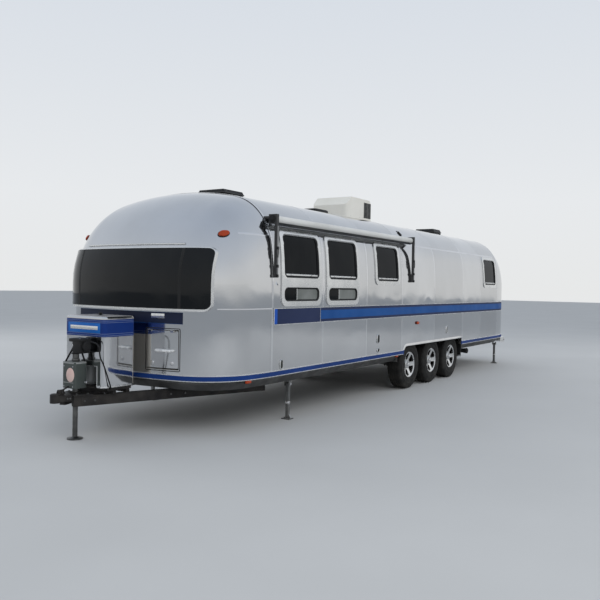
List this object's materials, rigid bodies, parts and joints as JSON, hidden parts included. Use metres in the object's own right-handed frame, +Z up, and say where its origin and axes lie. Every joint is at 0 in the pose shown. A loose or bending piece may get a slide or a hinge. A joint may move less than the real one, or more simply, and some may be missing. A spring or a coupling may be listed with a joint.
{
  "type": "travel caravan",
  "caption": "Long riveted aluminium travel caravan on three axles, with rounded ends, wrap-round front window, side awnings, roof unit, gas bottle cover and nose jack.",
  "frame": {"origin": "on the floor, at the middle of the overall length and width, with the wheels, the jack's foot and the stabiliser legs standing on Z = 0", "axes": "+X forward to the coupler, +Y to the caravan's left, +Z up"},
  "size_m": [10.5598, 2.5598, 2.88],
  "materials": {
    "polished_skin": "polished",
    "trim_aluminium": "satin",
    "lacquered_aluminium": "satin",
    "dark_glass": "gloss",
    "blue_band": "gloss",
    "blue_insert": "gloss",
    "black_steel": "satin",
    "galvanised": "matt",
    "bright_steel": "satin",
    "alloy": "bright machined",
    "tyre": "matt",
    "black_rubber": "matt",
    "floor_board": "matt",
    "white_plastic": "satin",
    "black_plastic": "satin",
    "grey_plastic": "satin",
    "bottle_paint": "gloss",
    "amber_lens": "gloss",
    "red_lens": "gloss",
    "awning_fabric": "woven",
    "step_tread": "matt"
  },
  "bodies": {
    "trailer": {"front_cap": "polished_skin", "rear_cap": "polished_skin", "left_wall": "polished_skin", "right_wall": "polished_skin", "roof": "lacquered_aluminium", "window_frames": "trim_aluminium", "window_glass": "dark_glass", "door_trim": "trim_aluminium", "rub_rail": "blue_insert", "belt_bands": "blue_band", "floor_deck": "floor_board", "chassis": "black_steel", "belly_pan": "galvanised", "wheel_wells": "black_steel", "axles": "black_steel", "mud_flaps": "black_rubber", "drawbar": "black_steel", "coupler": "black_steel", "jack_tube": "bright_steel", "jack_head": "black_plastic", "jack_housing": "grey_plastic", "jack_cable": "black_rubber", "gas_bottles": "bottle_paint", "gas_cover": "polished_skin", "air_conditioner": "white_plastic", "roof_bases": "black_plastic", "awning_rolls": "awning_fabric", "awning_frames": "trim_aluminium", "bumper": "trim_aluminium", "marker_lamps": "amber_lens", "tail_lamps": "red_lens", "side_fittings": "black_plastic", "drain_outlet": "black_plastic", "under_brackets": "galvanised"},
    "entry_door": {"entry_door": "polished_skin", "door_glass": "dark_glass"},
    "front_hatch_left": {"front_hatch_left": "polished_skin"},
    "front_hatch_right": {"front_hatch_right": "polished_skin"},
    "rear_hatch": {"rear_hatch": "polished_skin"},
    "jack_leg": {"jack_leg": "bright_steel"},
    "entry_step": {"entry_step": "step_tread"},
    "vent_lid_front": {"vent_lid_front": "black_plastic"},
    "vent_lid_rear": {"vent_lid_rear": "black_plastic"},
    "wheel_left_1": {"tyre_left_1": "tyre", "rim_left_1": "alloy"},
    "wheel_left_2": {"tyre_left_2": "tyre", "rim_left_2": "alloy"},
    "wheel_left_3": {"tyre_left_3": "tyre", "rim_left_3": "alloy"},
    "stabiliser_front_left": {"stabiliser_front_left": "galvanised"},
    "stabiliser_rear_left": {"stabiliser_rear_left": "galvanised"},
    "wheel_right_1": {"tyre_right_1": "tyre", "rim_right_1": "alloy"},
    "wheel_right_2": {"tyre_right_2": "tyre", "rim_right_2": "alloy"},
    "wheel_right_3": {"tyre_right_3": "tyre", "rim_right_3": "alloy"},
    "stabiliser_front_right": {"stabiliser_front_right": "galvanised"},
    "stabiliser_rear_right": {"stabiliser_rear_right": "galvanised"}
  },
  "joints": [
    {"name": "entry_door_hinge", "type": "hinge", "parent": "trailer", "child": "entry_door", "pos_m": [2.204, -1.23, 1.35], "axis": [0, 0, 1], "range_deg": [0, 165]},
    {"name": "front_hatch_left_hinge", "type": "hinge", "parent": "trailer", "child": "front_hatch_left", "pos_m": [4.3916, 0.515, 1.044], "axis": [0, -1, 0], "range_deg": [0, 85]},
    {"name": "front_hatch_right_hinge", "type": "hinge", "parent": "trailer", "child": "front_hatch_right", "pos_m": [4.3916, -0.515, 1.044], "axis": [0, -1, 0], "range_deg": [0, 85]},
    {"name": "rear_hatch_hinge", "type": "hinge", "parent": "trailer", "child": "rear_hatch", "pos_m": [-5.216, 0, 1.044], "axis": [0, 1, 0], "range_deg": [0, 85]},
    {"name": "jack_leg_slide", "type": "slide", "parent": "trailer", "child": "jack_leg", "axis": [0, 0, 1], "range_m": [0, 0.3]},
    {"name": "entry_step_slide", "type": "slide", "parent": "trailer", "child": "entry_step", "axis": [0, -1, 0], "range_m": [0, 0.24]},
    {"name": "vent_lid_front_hinge", "type": "hinge", "parent": "trailer", "child": "vent_lid_front", "pos_m": [3.07, 0, 2.5905], "axis": [0, 1, 0], "range_deg": [0, 70]},
    {"name": "vent_lid_rear_hinge", "type": "hinge", "parent": "trailer", "child": "vent_lid_rear", "pos_m": [-3.4, 0, 2.6155], "axis": [0, 1, 0], "range_deg": [0, 70]},
    {"name": "wheel_left_1_spin", "type": "hinge", "parent": "trailer", "child": "wheel_left_1", "pos_m": [-0.227, 1.0505, 0.36], "axis": [0, 1, 0], "continuous": true},
    {"name": "wheel_left_2_spin", "type": "hinge", "parent": "trailer", "child": "wheel_left_2", "pos_m": [-1.075, 1.0505, 0.36], "axis": [0, 1, 0], "continuous": true},
    {"name": "wheel_left_3_spin", "type": "hinge", "parent": "trailer", "child": "wheel_left_3", "pos_m": [-1.922, 1.0505, 0.36], "axis": [0, 1, 0], "continuous": true},
    {"name": "stabiliser_front_left_hinge", "type": "hinge", "parent": "trailer", "child": "stabiliser_front_left", "pos_m": [2.9, 1.05, 0.4], "axis": [0, 1, 0], "range_deg": [0, 82]},
    {"name": "stabiliser_rear_left_hinge", "type": "hinge", "parent": "trailer", "child": "stabiliser_rear_left", "pos_m": [-4.7, 1.05, 0.4], "axis": [0, -1, 0], "range_deg": [0, 82]},
    {"name": "wheel_right_1_spin", "type": "hinge", "parent": "trailer", "child": "wheel_right_1", "pos_m": [-0.227, -1.0505, 0.36], "axis": [0, 1, 0], "continuous": true},
    {"name": "wheel_right_2_spin", "type": "hinge", "parent": "trailer", "child": "wheel_right_2", "pos_m": [-1.075, -1.0505, 0.36], "axis": [0, 1, 0], "continuous": true},
    {"name": "wheel_right_3_spin", "type": "hinge", "parent": "trailer", "child": "wheel_right_3", "pos_m": [-1.922, -1.0505, 0.36], "axis": [0, 1, 0], "continuous": true},
    {"name": "stabiliser_front_right_hinge", "type": "hinge", "parent": "trailer", "child": "stabiliser_front_right", "pos_m": [2.9, -1.05, 0.4], "axis": [0, 1, 0], "range_deg": [0, 82]},
    {"name": "stabiliser_rear_right_hinge", "type": "hinge", "parent": "trailer", "child": "stabiliser_rear_right", "pos_m": [-4.7, -1.05, 0.4], "axis": [0, -1, 0], "range_deg": [0, 82]}
  ]
}
